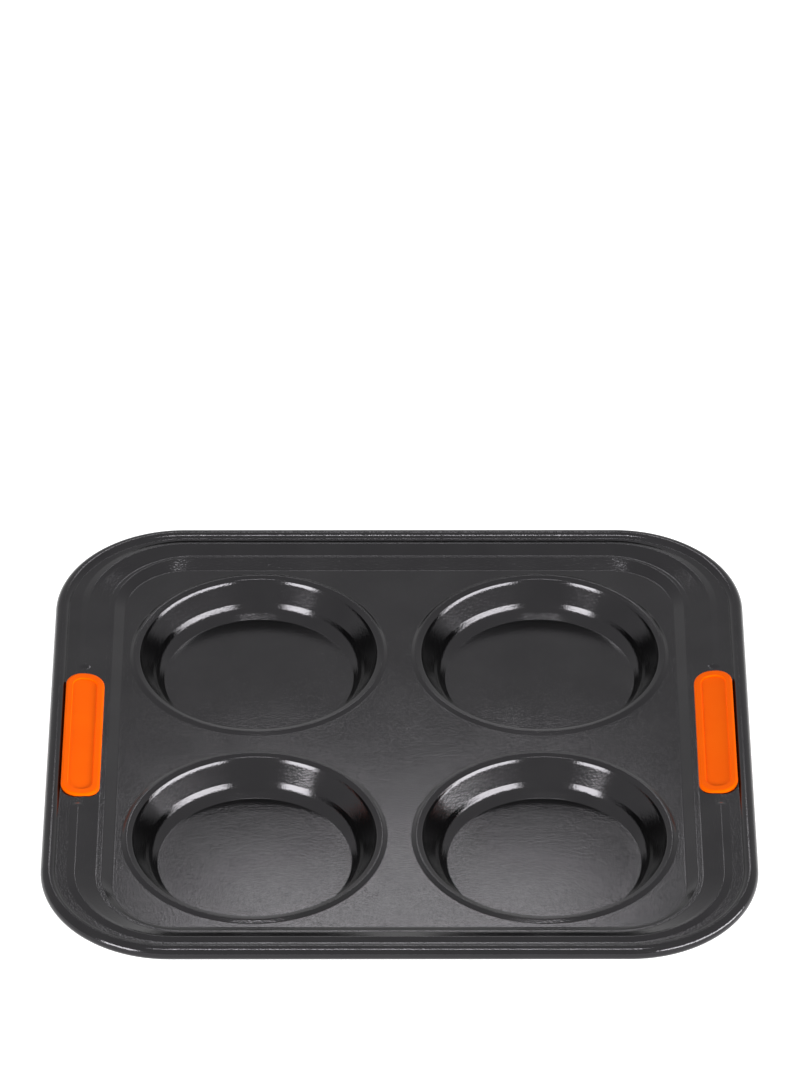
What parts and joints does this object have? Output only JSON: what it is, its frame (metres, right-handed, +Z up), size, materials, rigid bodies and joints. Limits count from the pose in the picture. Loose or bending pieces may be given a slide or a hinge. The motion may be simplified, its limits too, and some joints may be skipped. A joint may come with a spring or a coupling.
{
  "type": "yorkshire pudding tray",
  "caption": "Shallow baking tray with round lipped cups in a flat deck, a stepped flange, a rolled wired edge and a soft grip on each side.",
  "frame": {"origin": "on the table under the middle of the tray, level with the undersides of the four cup floors", "axes": "+X across the tray to the right grip, +Y to the back edge, +Z up, out of the cups"},
  "size_m": [0.31, 0.293, 0.0224],
  "materials": {
    "coated_steel": "carbon steel sheet with a satin dark grey non-stick coating on both sides",
    "steel_wire": "plain drawn steel wire, hidden in the rolled edge",
    "silicone": "satin orange moulded silicone with a plain recessed panel"
  },
  "bodies": {
    "root": {"tray_pressing": "coated_steel", "rim_wire": "steel_wire", "left_grip": "silicone", "right_grip": "silicone"}
  },
  "joints": []
}
